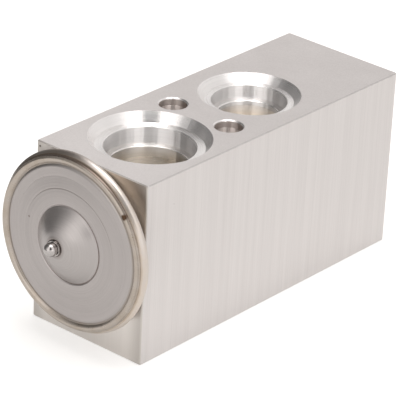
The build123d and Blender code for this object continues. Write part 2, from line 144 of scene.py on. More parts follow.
# Material name, light and dark tone, and lowest and highest roughness.
TURNED_METALS = {
    "rod_aluminium": ("rod_aluminium_turned", (0.9, 0.89, 0.88, 1), (0.66, 0.65, 0.64, 1), (0.2, 0.34)),
    "inner_steel": ("inner_steel_turned", (0.72, 0.71, 0.70, 1), (0.48, 0.47, 0.46, 1), (0.18, 0.32)),
    "spring_steel": ("spring_steel_drawn", (0.62, 0.61, 0.6, 1), (0.36, 0.36, 0.37, 1), (0.2, 0.36)),
    "screw_brass": ("screw_brass_turned", (0.92, 0.76, 0.44, 1), (0.66, 0.5, 0.26, 1), (0.18, 0.32)),
}


# ---------------------------------------------------------------- mesh making

def mesh_piece(name, points, faces, body, material, replaces=()):
    """A piece from points in millimetres and quad or triangle index rows; it rides on a CAD body."""
    mesh = bpy.data.meshes.new(name)
    mesh.from_pydata((np.asarray(points) * MM).tolist(), [], [tuple(face) for face in faces])
    mesh.validate()
    mesh.polygons.foreach_set("use_smooth", np.full(len(mesh.polygons), True))
    mesh.materials.append(material)
    piece = bpy.data.objects.new(name, mesh)
    bpy.context.scene.collection.objects.link(piece)
    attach(piece, body)
    if replaces:
        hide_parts(*replaces)


def ring_faces(rows, columns, rows_join):
    """Quads of a grid whose columns close on themselves, and whose rows do too when rows_join."""
    row = np.arange(rows if rows_join else rows - 1)[:, None]
    column = np.arange(columns)[None, :]
    next_row = (row + 1) % rows
    next_column = (column + 1) % columns
    quads = np.stack(
        [
            row * columns + column,
            row * columns + next_column,
            next_row * columns + next_column,
            next_row * columns + column,
        ],
        axis=-1,
    )
    return quads.reshape(-1, 4)


def spun(profile, around, drift=None, ripple=None):
    """Points and faces of a profile spun about the valve axis.

    The profile is rows of (rise, radius): rise is measured out from the block's head face, so y is that face
    less the rise, x is the radius times the turn's sine, and z is the axis plus the radius times its cosine.
    drift(radius) gives an (x, z) shift of each ring, and ripple(rise, radius, turn) what is added to the rise
    and to the radius. A profile that starts and ends on the axis gets one point at each end, and any other
    profile joins its last ring to its first.
    """
    profile = np.asarray(profile, float)
    on_axis = profile[0, 1] == 0
    rings = profile[1:-1] if on_axis else profile
    turn = np.arange(around) * 2 * pi / around
    rise_grid = np.repeat(rings[:, :1], around, axis=1)
    radius_grid = np.repeat(rings[:, 1:], around, axis=1)
    if ripple is not None:
        rise_step, radius_step = ripple(rise_grid, radius_grid, turn[None, :])
        rise_grid = rise_grid + rise_step
        radius_grid = radius_grid + radius_step
    shift_x, shift_z = (0.0, 0.0) if drift is None else drift(rings[:, 1:])
    x = radius_grid * np.sin(turn) + shift_x
    z = AXIS_Z + radius_grid * np.cos(turn) + shift_z
    points = np.stack([x, HEAD_FACE_Y - rise_grid, z], axis=-1).reshape(-1, 3)
    faces = ring_faces(len(rings), around, rows_join=not on_axis).tolist()
    if on_axis:
        ends = np.array([[0.0, HEAD_FACE_Y - profile[k, 0], AXIS_Z] for k in (0, -1)])
        if drift is not None:
            end_x, end_z = drift(np.zeros((1, 1)))
            ends += [end_x[0, 0], 0.0, end_z[0, 0]]
        first, last = len(points), len(points) + 1
        points = np.vstack([points, ends])
        here = np.arange(around)
        after = (here + 1) % around
        base = (len(rings) - 1) * around
        faces += np.stack([np.full(around, first), after, here], axis=-1).tolist()
        faces += np.stack([np.full(around, last), base + here, base + after], axis=-1).tolist()
    return points, outward(points, faces)


def outward(points, faces):
    """The faces, all turned over when the volume they enclose comes out negative."""
    volume = 0.0
    for size in (3, 4):
        group = np.array([face for face in faces if len(face) == size])
        for k in range(1, size - 1):
            if len(group):
                a, b, c = points[group[:, 0]], points[group[:, k]], points[group[:, k + 1]]
                volume += np.einsum("ij,ij->i", a, np.cross(b, c)).sum()
    return [face[::-1] for face in faces] if volume < 0 else faces


def curve_rows(corners, step):
    """Rows along a smooth line through (rise, radius) corners.

    Straight runs are cut in steps, and each inner corner is rounded by a quadratic arc between the points
    that lie its own cut length before and after it. A corner is (rise, radius, cut), or sharp with no cut.
    """
    corners = [tuple(corner) if len(corner) == 3 else (*corner, 0.0) for corner in corners]
    rows = [np.array(corners[0][:2])]
    for before, here, after in zip(corners[:-2], corners[1:-1], corners[2:]):
        corner = np.array(here[:2])
        to_before = np.array(before[:2]) - corner
        to_after = np.array(after[:2]) - corner
        cut = here[2]
        if cut == 0:
            rows.append(corner)
            continue
        start = corner + to_before / np.linalg.norm(to_before) * cut
        end = corner + to_after / np.linalg.norm(to_after) * cut
        t = np.linspace(0, 1, 9)[:, None]
        rows.extend((1 - t) ** 2 * start + 2 * t * (1 - t) * corner + t**2 * end)
    rows.append(np.array(corners[-1][:2]))
    fine = [rows[0]]
    for start, end in zip(rows[:-1], rows[1:]):
        count = max(1, int(np.ceil(np.linalg.norm(end - start) / step)))
        fine.extend(start + (end - start) * np.linspace(0, 1, count + 1)[1:, None])
    return np.array(fine)


# ---------------------------------------------------------------- node wiring

def wire(tree, socket, source):
    """Link a socket's source, or set its value."""
    if isinstance(source, bpy.types.NodeSocket):
        tree.links.new(source, socket)
    elif source is not None:
        socket.default_value = source


def put(tree, kind, *sources, named=None, **settings):
    """A node with its settings, fed in order by sources and by name from named."""
    node = tree.nodes.new(kind)
    for key, value in settings.items():
        setattr(node, key, value)
    for socket, source in zip(node.inputs, sources):
        wire(tree, socket, source)
    for name, source in (named or {}).items():
        wire(tree, node.inputs[name], source)
    return node


def calc(tree, operation, a, b=None):
    """Math node result."""
    return put(tree, "ShaderNodeMath", a, b, operation=operation).outputs[0]


def plus(tree, a, b):
    """Sum of two values."""
    return calc(tree, "ADD", a, b)


def minus(tree, a, b):
    """First value less the second."""
    return calc(tree, "SUBTRACT", a, b)


def both(tree, a, b):
    """Product of two values, which for masks is where both hold."""
    return calc(tree, "MULTIPLY", a, b)


def any_of(tree, a, b):
    """Larger of two masks."""
    return calc(tree, "MAXIMUM", a, b)


def size_of(tree, value):
    """Value without its sign."""
    return calc(tree, "ABSOLUTE", value)


def distance(tree, dx, dy):
    """Length of a flat step."""
    return calc(tree, "SQRT", plus(tree, both(tree, dx, dx), both(tree, dy, dy)))


def ramp(tree, value, low, high, to_low=0.0, to_high=1.0):
    """Smooth step of a value from (low, high) to (to_low, to_high)."""
    node = put(tree, "ShaderNodeMapRange", value, low, high, to_low, to_high, interpolation_type="SMOOTHSTEP")
    return node.outputs[0]


def line_map(tree, value, low, high, to_low=0.0, to_high=1.0):
    """Straight map of a value from (low, high) to (to_low, to_high), held at the ends."""
    return put(tree, "ShaderNodeMapRange", value, low, high, to_low, to_high).outputs[0]


def spread(tree, value, to_low, to_high):
    """Noise spread over a range: its values hardly leave 0.3 to 0.7."""
    return line_map(tree, value, 0.3, 0.7, to_low, to_high)


def inside(tree, value, low, high, soft):
    """Mask that is 1 between low and high, with soft ends."""
    above = ramp(tree, value, low - soft, low + soft)
    below = ramp(tree, value, high + soft, high - soft)
    return both(tree, above, below)


def mix_colour(tree, factor, a, b, blend_type="MIX"):
    """Colour a turning to colour b by the factor."""
    node = put(tree, "ShaderNodeMix", data_type="RGBA", blend_type=blend_type)
    wire(tree, node.inputs[0], factor)
    wire(tree, node.inputs[6], a)
    wire(tree, node.inputs[7], b)
    return node.outputs[2]


def tinted(tree, colour, tint):
    """Colour times another."""
    return mix_colour(tree, 1.0, colour, tint, "MULTIPLY")


def mix_vector(tree, factor, a, b):
    """Vector a turning to vector b by the factor."""
    node = put(tree, "ShaderNodeMix", data_type="VECTOR")
    wire(tree, node.inputs[0], factor)
    wire(tree, node.inputs[4], a)
    wire(tree, node.inputs[5], b)
    return node.outputs[1]


def mix_value(tree, factor, a, b):
    """Value a turning to value b by the factor."""
    return put(tree, "ShaderNodeMix", factor, None, a, b).outputs[0]


def noise(tree, vector, scale, detail=3.0, roughness=0.5):
    """Noise value about 0.5."""
    named = {"Vector": vector, "Scale": scale, "Detail": detail, "Roughness": roughness}
    return put(tree, "ShaderNodeTexNoise", named=named).outputs[0]


def join_xyz(tree, x, y, z):
    """Vector of three values."""
    return put(tree, "ShaderNodeCombineXYZ", x, y, z).outputs[0]


def split_xyz(tree, vector):
    """Three values of a vector."""
    return put(tree, "ShaderNodeSeparateXYZ", vector).outputs


def vector_calc(tree, operation, a, b=None):
    """Vector Math node result."""
    return put(tree, "ShaderNodeVectorMath", a, b, operation=operation).outputs[0]


def colour_stops(tree, value, stops):
    """Colour from (position, colour) stops."""
    node = put(tree, "ShaderNodeValToRGB", value)
    elements = node.color_ramp.elements
    while len(elements) < len(stops):
        elements.new(0.5)
    for element, (position, colour) in zip(elements, stops):
        element.position = position
        element.color = colour
    return node.outputs[0]


def shader_group(name, inputs, outputs, build):
    """A node group with the inputs and outputs listed; build(tree, inputs, outputs) wires it."""
    tree = bpy.data.node_groups.new(name, "ShaderNodeTree")
    kinds = {"value": "NodeSocketFloat", "vector": "NodeSocketVector", "colour": "NodeSocketColor"}
    for label, kind, start in inputs:
        socket = tree.interface.new_socket(label, in_out="INPUT", socket_type=kinds[kind])
        socket.default_value = start
    for label, kind in outputs:
        tree.interface.new_socket(label, in_out="OUTPUT", socket_type=kinds[kind])
    build(tree, tree.nodes.new("NodeGroupInput").outputs, tree.nodes.new("NodeGroupOutput").inputs)
    return tree


def place_group(tree, group, **inputs):
    """Outputs of a group placed in a material; an input's blanks are written as underscores."""
    node = put(tree, "ShaderNodeGroup", node_tree=group)
    for name, source in inputs.items():
        wire(tree, node.inputs[name.replace("_", " ")], source)
    return node.outputs


# ---------------------------------------------------------------- shared finishes

def build_drawn_lines(tree, ins, outs):
    """Lines left by drawing or sawing: noise stretched along one axis, in coarse bands and fine scratches."""
    x, y, z = split_xyz(tree, ins["Point"])
    across = join_xyz(tree, both(tree, x, ins["X"]), both(tree, y, ins["Y"]), both(tree, z, ins["Z"]))
    wire(tree, outs["Bands"], noise(tree, across, 0.35, detail=2.0))
    wire(tree, outs["Fine"], noise(tree, across, 2.2, detail=4.0, roughness=0.7))


drawn_lines = shader_group(
    "drawn_lines",
    [("Point", "vector", (0, 0, 0)), ("X", "value", 1.0), ("Y", "value", 1.0), ("Z", "value", 1.0)],
    [("Bands", "value"), ("Fine", "value")],
    build_drawn_lines,
)


def build_tool_rings(tree, ins, outs):
    """Grooves of a lathe or a boring tool: noise that changes with radius and depth, hardly with the turn."""
    x, y, z = split_xyz(tree, ins["Point"])
    radius = distance(tree, x, y)
    turn = calc(tree, "ARCTAN2", x, y)
    where = join_xyz(
        tree,
        both(tree, radius, ins["Density"]),
        both(tree, z, ins["Density"]),
        both(tree, calc(tree, "SINE", turn), ins["Wander"]),
    )
    broad = join_xyz(tree, both(tree, radius, 0.7), both(tree, z, 0.5), 0.0)
    wire(tree, outs["Radius"], radius)
    wire(tree, outs["Grooves"], noise(tree, where, 1.0, roughness=0.6))
    wire(tree, outs["Broad"], noise(tree, broad, 1.0, detail=2.0))


tool_rings = shader_group(
    "tool_rings",
    [("Point", "vector", (0, 0, 0)), ("Density", "value", 5.0), ("Wander", "value", 0.2)],
    [("Radius", "value"), ("Grooves", "value"), ("Broad", "value")],
    build_tool_rings,
)


def build_handling(tree, ins, outs):
    """Marks of use: soft smudges, fine grain, and small pits at the middle of a few scattered cells."""
    cells = put(tree, "ShaderNodeTexVoronoi", named={"Vector": ins["Point"], "Scale": ins["Pit density"]})
    chosen = calc(tree, "GREATER_THAN", noise(tree, ins["Point"], 0.21, detail=0.0), 0.6)
    pit = both(tree, ramp(tree, cells.outputs["Distance"], ins["Pit size"], 0.0), chosen)
    wire(tree, outs["Smudge"], noise(tree, ins["Point"], 0.09, detail=5.0, roughness=0.6))
    wire(tree, outs["Pits"], pit)
    wire(tree, outs["Grain"], noise(tree, ins["Point"], 3.0, roughness=0.7))


handling = shader_group(
    "handling",
    [("Point", "vector", (0, 0, 0)), ("Pit density", "value", 0.4), ("Pit size", "value", 0.08)],
    [("Smudge", "value"), ("Pits", "value"), ("Grain", "value")],
    build_handling,
)


def build_heat_tint(tree, ins, outs):
    """Oxide colours beside a weld: bare, straw, brown and dark by heat from 0 to 1, moved about by noise."""
    uneven = spread(tree, noise(tree, ins["Point"], 0.35), -0.12, 0.12)
    wire(tree, outs["Colour"], colour_stops(tree, plus(tree, ins["Heat"], uneven), OXIDE_COLOURS))


heat_tint = shader_group(
    "heat_tint",
    [("Point", "vector", (0, 0, 0)), ("Heat", "value", 0.0)],
    [("Colour", "colour")],
    build_heat_tint,
)


def new_material(name, **constants):
    """A material with its Principled BSDF and the object's point in millimetres."""
    material = bpy.data.materials.new(name)
    material.use_nodes = True
    tree = material.node_tree
    shader = tree.nodes["Principled BSDF"]
    for label, value in constants.items():
        shader.inputs[label].default_value = value
    place = put(tree, "ShaderNodeTexCoord").outputs["Object"]
    point = put(tree, "ShaderNodeMapping", named={"Vector": place, "Scale": (1000, 1000, 1000)}).outputs[0]
    return material, tree, shader, point


def finish_surface(tree, shader, colour, roughness, height, depth, normal=None):
    """Feed the shader: colour, roughness, and a bump whose height is in millimetres times depth."""
    bump = put(tree, "ShaderNodeBump", named={"Distance": depth * MM, "Height": height, "Normal": normal})
    wire(tree, shader.inputs["Base Color"], colour)
    wire(tree, shader.inputs["Roughness"], roughness)
    wire(tree, shader.inputs["Normal"], bump.outputs[0])


def spot(tree, place, across, up, size):
    """Mask of a small round mark at a place on a face seen square on."""
    x, y, _ = split_xyz(tree, place)
    return ramp(tree, distance(tree, minus(tree, x, across), minus(tree, y, up)), size, size * 0.45)


def head_point(tree, point):
    """Point with the head's axis as its own Z and the block's head face at zero, rising outwards."""
    x, y, z = split_xyz(tree, point)
    return join_xyz(tree, x, minus(tree, z, AXIS_Z), minus(tree, HEAD_FACE_Y, y))


def off_centre(tree, place):
    """Distance from the charging ball's own axis, which sits off the head's."""
    x, y, _ = split_xyz(tree, place)
    return distance(tree, minus(tree, x, DOME_SHIFT[0]), minus(tree, y, DOME_SHIFT[1]))


# ---------------------------------------------------------------- materials

def make_block_aluminium():
    """Drawn aluminium: lines up the four sides, a fine sawn grain on both port faces, tool-ringed bores."""
    material, tree, shader, point = new_material("block_aluminium_drawn", Metallic=1.0, Anisotropic=1.0)
    x, y, z = split_xyz(tree, point)
    across = size_of(tree, x)
    geometry = put(tree, "ShaderNodeNewGeometry").outputs
    facing = geometry["Normal"]
    facing_up = size_of(tree, split_xyz(tree, geometry["True Normal"])[2])
    above_middle = minus(tree, z, BLOCK_MIDDLE_Z)
    depth = minus(tree, BLOCK_MIDDLE_Z, size_of(tree, above_middle))

    # Masks of the port faces, the four drawn sides with their broken edges, and all that is bored.
    port_face = both(tree, ramp(tree, facing_up, *LEVEL), ramp(tree, depth, *PORT_FACE_DEPTH))
    end_side = any_of(tree, ramp(tree, y, *HEAD_END_SKIN), ramp(tree, y, *REAR_END_SKIN))
    outer_side = any_of(tree, ramp(tree, across, *SIDE_SKIN), end_side)
    broken_edge = both(tree, outer_side, inside(tree, facing_up, *SLOPING))
    head_end = ramp(tree, y, *HEAD_END_FACE)
    outside = any_of(tree, port_face, outer_side)
    bored = minus(tree, 1.0, outside)
    wall = ramp(tree, facing_up, *UPRIGHT)
    pilot_wall = both(tree, both(tree, bored, wall), inside(tree, depth, *PILOT_DEPTH))

    # Which hole a bored point belongs to sets the centre of its rings.
    in_bolt = ramp(tree, distance(tree, minus(tree, across, BOLT_X), y), *BOLT_HOLE_RADIUS)
    hole_x = both(tree, in_bolt, both(tree, calc(tree, "SIGN", x), BOLT_X))
    port_y = mix_value(tree, ramp(tree, y, -0.1, 0.1), SUCTION_Y, LIQUID_Y)
    hole_y = both(tree, minus(tree, 1.0, in_bolt), port_y)
    from_x, from_y = minus(tree, x, hole_x), minus(tree, y, hole_y)
    from_hole = join_xyz(tree, from_x, from_y, z)
    around_hole = vector_calc(tree, "NORMALIZE", join_xyz(tree, from_x, from_y, 0.0))

    rings = place_group(tree, tool_rings, Point=from_hole, Density=4.5, Wander=0.15)
    lines = place_group(tree, drawn_lines, Point=point, X=1.6, Y=1.6, Z=0.02)
    grain = place_group(tree, drawn_lines, Point=point, X=2.2, Y=0.7, Z=1.0)
    marks = place_group(tree, handling, Point=point, Pit_density=0.22, Pit_size=0.03)
    chatter = noise(tree, around_hole, 7.0, detail=2.0)

    scratches = spread(tree, lines["Fine"], -0.14, 0.14)
    side_shade = plus(tree, scratches, spread(tree, lines["Bands"], -0.08, 0.08))
    sawing = spread(tree, grain["Fine"], -0.2, 0.2)
    face_shade = plus(tree, sawing, spread(tree, marks["Smudge"], -0.1, 0.1))
    # Painted light: the port faces are lighter towards the head end.
    face_shade = plus(tree, face_shade, line_map(tree, y, HEAD_FACE_Y, 0.0, 0.3, 0.0))
    shade = mix_value(tree, port_face, side_shade, face_shade)
    skin = mix_colour(tree, plus(tree, shade, 0.5), DRAWN_DARK, DRAWN_LIGHT)
    # Painted reflection of the warm head on the head end: a tint, then a lighter sheen mixed in.
    skin = mix_colour(tree, head_end, skin, tinted(tree, skin, HEAD_END_WARM_REFLECTION))
    skin = mix_colour(tree, both(tree, head_end, 0.35), skin, HEAD_END_PAINTED_SHEEN)
    # Painted shade: the head end darkens towards both side edges.
    head_end_shade = both(tree, head_end, ramp(tree, across, *HEAD_END_SHADE_X, 0.0, 0.5))
    skin = mix_colour(tree, head_end_shade, skin, HEAD_END_EDGE_SHADE)
    skin = mix_colour(tree, both(tree, broken_edge, 0.16), skin, EDGE_SHADE)

    bore_colour = mix_colour(tree, ramp(tree, depth, *PASSAGE_COLOUR_DEPTH), BORE_MOUTH, BORE_DEEP)
    bore_shade = spread(tree, rings["Grooves"], 0.93, 1.0)
    bore_shade = both(tree, bore_shade, minus(tree, 1.0, both(tree, pilot_wall, 0.14)))
    bore_colour = tinted(tree, bore_colour, join_xyz(tree, bore_shade, bore_shade, bore_shade))
    # Painted shade: the bolt holes' walls darken from just below the face.
    bolt_hole_shade = both(tree, in_bolt, ramp(tree, depth, *BOLT_HOLE_SHADE_DEPTH))
    bore_colour = mix_colour(tree, bolt_hole_shade, bore_colour, BOLT_HOLE_PAINTED_SHADE)

    colour = mix_colour(tree, bored, skin, bore_colour)
    pits = both(tree, marks["Pits"], outside)
    colour = mix_colour(tree, pits, colour, BLOCK_PIT)
    corner_dent = both(tree, head_end, spot(tree, join_xyz(tree, x, z, y), *CORNER_DENT_SPOT))
    colour = mix_colour(tree, corner_dent, colour, CORNER_DENT)

    long_side_rough = spread(tree, lines["Fine"], 0.36, 0.46)
    head_end_rough = spread(tree, lines["Fine"], 0.28, 0.36)
    side_rough = mix_value(tree, head_end, long_side_rough, head_end_rough)
    face_rough = spread(tree, marks["Grain"], 0.40, 0.48)
    skin_rough = mix_value(tree, port_face, mix_value(tree, broken_edge, side_rough, 0.6), face_rough)
    pilot_rough = spread(tree, rings["Broad"], 0.36, 0.44)
    passage_rough = spread(tree, rings["Broad"], 0.26, 0.36)
    wall_rough = mix_value(tree, ramp(tree, depth, *PASSAGE_ROUGH_DEPTH), pilot_rough, passage_rough)
    wall_rough = mix_value(tree, in_bolt, wall_rough, 0.38)
    bore_rough = mix_value(tree, wall, spread(tree, rings["Broad"], 0.20, 0.30), wall_rough)
    roughness = mix_value(tree, bored, skin_rough, bore_rough)

    face_height = plus(tree, both(tree, marks["Grain"], 0.6), both(tree, grain["Fine"], 0.4))
    skin_height = mix_value(tree, port_face, lines["Fine"], face_height)
    ring_height = plus(tree, 1.3, both(tree, minus(tree, 1.0, wall), 1.5))
    chatter_height = plus(tree, 3.0, plus(tree, both(tree, pilot_wall, 6.0), both(tree, in_bolt, -3.0)))
    bore_height = plus(tree, both(tree, rings["Grooves"], ring_height), both(tree, chatter, chatter_height))
    height = minus(tree, mix_value(tree, bored, skin_height, bore_height), both(tree, pits, 2.0))

    # The boring tool's marks face up and out on the pilot bores, so these catch light from above, and so do
    # the broken edges.
    lean = plus(tree, both(tree, pilot_wall, 0.45), both(tree, broken_edge, 0.2))
    lean = join_xyz(tree, 0.0, 0.0, both(tree, lean, calc(tree, "SIGN", above_middle)))
    leaning = vector_calc(tree, "NORMALIZE", vector_calc(tree, "ADD", facing, lean))
    finish_surface(tree, shader, colour, roughness, height, depth=0.012, normal=leaning)

    # Reflections draw out across the marks: up the bores' walls, and sideways on the four drawn sides.
    upright = join_xyz(tree, 0.0, 0.0, 1.0)
    along_side = vector_calc(tree, "CROSS_PRODUCT", upright, facing)
    along_face = join_xyz(tree, port_face, 0.0, 0.0)
    skin_run = vector_calc(tree, "ADD", along_side, along_face)
    round_hole = vector_calc(tree, "CROSS_PRODUCT", upright, from_hole)
    across_rings = vector_calc(tree, "CROSS_PRODUCT", round_hole, facing)
    wire(tree, shader.inputs["Tangent"], mix_vector(tree, bored, skin_run, across_rings))
    return material


def make_lid_steel():
    """Satin pressed steel: rings from spinning, a straw-tinted rim, a brown crease and a brighter dome."""
    material, tree, shader, point = new_material("head_steel_satin", Metallic=1.0)
    place = head_point(tree, point)
    across, up, _ = split_xyz(tree, place)
    rings = place_group(tree, tool_rings, Point=place, Density=5.0, Wander=0.3)
    marks = place_group(tree, handling, Point=point, Pit_density=0.25, Pit_size=0.05)
    radius = rings["Radius"]
    rim = ramp(tree, radius, *LID_RIM)
    crease = inside(tree, radius, *LID_CREASE)
    dome = ramp(tree, radius, *LID_DOME)

    plain = mix_colour(tree, marks["Smudge"], PLATE_DARK, PLATE_LIGHT)
    plain = mix_colour(tree, dome, plain, DOME_STEEL)
    groove_shade = spread(tree, rings["Grooves"], 0.93, 1.04)
    plain = tinted(tree, plain, join_xyz(tree, groove_shade, groove_shade, groove_shade))
    heat = plus(tree, both(tree, rim, 0.32), both(tree, crease, 0.1))
    oxide = tinted(tree, place_group(tree, heat_tint, Point=point, Heat=heat)["Colour"], RIM_DULLING)
    colour = mix_colour(tree, ramp(tree, radius, *LID_TINT_START), plain, oxide)
    colour = mix_colour(tree, both(tree, crease, 0.55), colour, CREASE_BROWN)

    # Grime and painted shade: painted shade in the dome's foot, a dark line at the turned step that is
    # stronger towards the top, painted shade in the seam and round the ball's flash, and two stray marks.
    # Painted shade in the groove at the dome's foot, stronger towards the lower right.
    foot_shade_share = line_map(tree, minus(tree, across, up), -12.0, 8.0, 0.12, 0.9)
    foot_groove_shade = both(tree, inside(tree, radius, *LID_FOOT_LINE), foot_shade_share)
    turned_share = ramp(tree, plus(tree, both(tree, across, 0.3), up), 2.0, 12.0, 0.0, 0.65)
    turned_line = both(tree, inside(tree, radius, *LID_TURNED_LINE), turned_share)
    from_ball = off_centre(tree, place)
    # Painted shade round the ball's flash, with a dark line at its foot.
    flash_foot_shade = both(tree, inside(tree, from_ball, *FLASH_FOOT_SHADE_LINE), 0.6)
    flash_shade = any_of(tree, ramp(tree, from_ball, *FLASH_SURROUND_SHADE, 0.0, 0.3), flash_foot_shade)
    # Painted shade in the seam under the weld, stronger towards the head's top.
    seam_shade = both(tree, ramp(tree, radius, *LID_SEAM), ramp(tree, up, *SEAM_SHADE_HEIGHT, 0.12, 0.86))
    grime_and_shade = any_of(tree, any_of(tree, foot_groove_shade, turned_line), any_of(tree, flash_shade, seam_shade))
    grime_and_shade = any_of(tree, grime_and_shade, both(tree, spot(tree, place, *LID_PIT_SPOT), 0.7))
    grime_and_shade = any_of(tree, grime_and_shade, both(tree, marks["Pits"], 0.6))
    colour = mix_colour(tree, grime_and_shade, colour, LID_GRIME_AND_SHADE)
    colour = mix_colour(tree, spot(tree, place, *LID_RUST_SPOT), colour, LID_RUST)

    plate_rough = spread(tree, rings["Broad"], 0.30, 0.38)
    dome_rough = spread(tree, marks["Smudge"], 0.36, 0.44)
    rim_rough = spread(tree, marks["Grain"], 0.26, 0.34)
    rough = mix_value(tree, rim, mix_value(tree, dome, plate_rough, dome_rough), rim_rough)
    height = plus(tree, both(tree, rings["Grooves"], 0.8), both(tree, marks["Grain"], 0.3))
    height = mix_value(tree, dome, height, both(tree, rings["Grooves"], 0.4))
    finish_surface(tree, shader, colour, rough, height, depth=0.012)
    return material


def make_weld_steel():
    """Weld run with heat colours, with painted shade where it meets the lid and a painted dark reflection on
    one upper side.
    """
    material, tree, shader, point = new_material("weld_steel_tinted", Metallic=1.0)
    across, up, rise = split_xyz(tree, head_point(tree, point))
    marks = place_group(tree, handling, Point=point, Pit_density=0.5, Pit_size=0.06)
    uneven = line_map(tree, marks["Smudge"], 0.35, 0.65, -0.1, 0.1)
    heat = plus(tree, ramp(tree, rise, 5.3, 5.9, 0.2, 0.5), uneven)
    oxide = place_group(tree, heat_tint, Point=point, Heat=heat)["Colour"]
    # Painted shade where the weld meets the lid, stronger towards the head's top.
    seam_shade = both(tree, ramp(tree, rise, *WELD_SEAM_RISE), ramp(tree, up, *SEAM_SHADE_HEIGHT, 0.12, 0.85))
    # Painted dark reflection towards the weld's upper left.
    dark_reflection = ramp(tree, minus(tree, up, across), 15.0, 24.0, 0.0, 0.55)
    colour = mix_colour(tree, any_of(tree, seam_shade, dark_reflection), oxide, WELD_PAINTED_SHADE)
    colour = mix_colour(tree, both(tree, marks["Pits"], 0.8), colour, WELD_PIT)
    rough = spread(tree, marks["Grain"], 0.32, 0.40)
    finish_surface(tree, shader, colour, rough, marks["Grain"], depth=0.0015)
    return material


def make_cup_steel():
    """Lower cover: plain steel, straw to brown near the rim, with turned rings; the brown is heat colour,
    taken darker as painted shade between the head and the block.
    """
    material, tree, shader, point = new_material("cup_steel", Metallic=1.0)
    rings = place_group(tree, tool_rings, Point=head_point(tree, point), Density=4.0, Wander=0.3)
    marks = place_group(tree, handling, Point=point, Pit_density=0.4, Pit_size=0.05)
    # Heat colour towards the rim, darkened further as painted shade where the cover sits between the lid and
    # the block.
    heat = ramp(tree, rings["Radius"], 15.0, 19.5, 0.25, 0.78)
    oxide = place_group(tree, heat_tint, Point=point, Heat=heat)["Colour"]
    rough = spread(tree, marks["Smudge"], 0.24, 0.4)
    finish_surface(tree, shader, oxide, rough, rings["Grooves"], depth=0.015)
    return material


def make_turned_metal(name, light, dark, rough):
    """Turned metal: rings about the valve axis, between a light and a dark tone."""
    material, tree, shader, point = new_material(name, Metallic=1.0)
    from_axis = {"Vector": point, "Location": (0.0, 0.0, -AXIS_Z)}
    moved = put(tree, "ShaderNodeMapping", named=from_axis).outputs[0]
    quarter_turn = {"Vector": moved, "Rotation": (radians(90), 0.0, 0.0)}
    place = put(tree, "ShaderNodeMapping", named=quarter_turn).outputs[0]
    rings = place_group(tree, tool_rings, Point=place, Density=4.0, Wander=0.2)
    marks = place_group(tree, handling, Point=point, Pit_density=0.4, Pit_size=0.03)
    lightness = both(tree, plus(tree, rings["Grooves"], marks["Smudge"]), 0.5)
    colour = mix_colour(tree, lightness, dark, light)
    roughness = spread(tree, rings["Broad"], *rough)
    finish_surface(tree, shader, colour, roughness, rings["Grooves"], depth=0.01)
    return material


def make_plug_steel():
    """Bright ball and flash, with painted shade in the gap between them and at the flash's foot."""
    material, tree, shader, point = new_material("plug_steel_bright", Metallic=1.0)
    marks = place_group(tree, handling, Point=point, Pit_density=1.0, Pit_size=0.1)
    place = head_point(tree, point)
    rise = split_xyz(tree, place)[2]
    from_ball = off_centre(tree, place)
    # Painted shade in the gap between ball and flash and at the flash's foot.
    gap = any_of(tree, inside(tree, from_ball, *FLASH_GAP), ramp(tree, from_ball, *FLASH_FOOT))
    gap = both(tree, gap, ramp(tree, rise, *FLASH_RISE))
    colour = mix_colour(tree, marks["Grain"], BALL_DARK, BALL_LIGHT)
    colour = mix_colour(tree, both(tree, gap, 0.85), colour, BALL_GAP_SHADE)
    rough = spread(tree, marks["Grain"], 0.13, 0.23)
    finish_surface(tree, shader, colour, rough, marks["Grain"], depth=0.01)
    return material


def make_seal_rubber():
    """Moulded rubber with a light bloom."""
    material, tree, shader, point = new_material("seal_rubber_matt", Metallic=0.0)
    marks = place_group(tree, handling, Point=point, Pit_density=0.8, Pit_size=0.05)
    colour = mix_colour(tree, marks["Smudge"], RUBBER_DARK, RUBBER_BLOOM)
    rough = spread(tree, marks["Grain"], 0.45, 0.7)
    finish_surface(tree, shader, colour, rough, marks["Grain"], depth=0.02)
    return material


finishes = {
    "block_aluminium": make_block_aluminium(),
    "lid_steel": make_lid_steel(),
    "cup_steel": make_cup_steel(),
    "weld_steel": make_weld_steel(),
    "plug_steel": make_plug_steel(),
    **{finish: make_turned_metal(*look) for finish, look in TURNED_METALS.items()},
    "seal_rubber": make_seal_rubber(),
}

node_finishes = {
    "valve_block": "block_aluminium",
    "lower_cover": "cup_steel",
    "head_seal": "seal_rubber",
    "diaphragm": "inner_steel",
    "upper_cover": "lid_steel",
    "rim_weld": "weld_steel",
    "charge_plug": "plug_steel",
    "stopper": "screw_brass",
    "sensing_rod": "rod_aluminium",
    "push_rod": "inner_steel",
    "rod_seal": "seal_rubber",
    "seal_retainer": "spring_steel",
    "valve_ball": "plug_steel",
    "ball_carrier": "inner_steel",
    "damper_spring": "spring_steel",
    "valve_spring": "spring_steel",
    "adjusting_screw": "screw_brass",
    "screw_seal": "seal_rubber",
}
for node_name, finish in node_finishes.items():
    for material_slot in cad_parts[node_name].material_slots:
        material_slot.material = finishes[finish]


# ---------------------------------------------------------------- head pieces

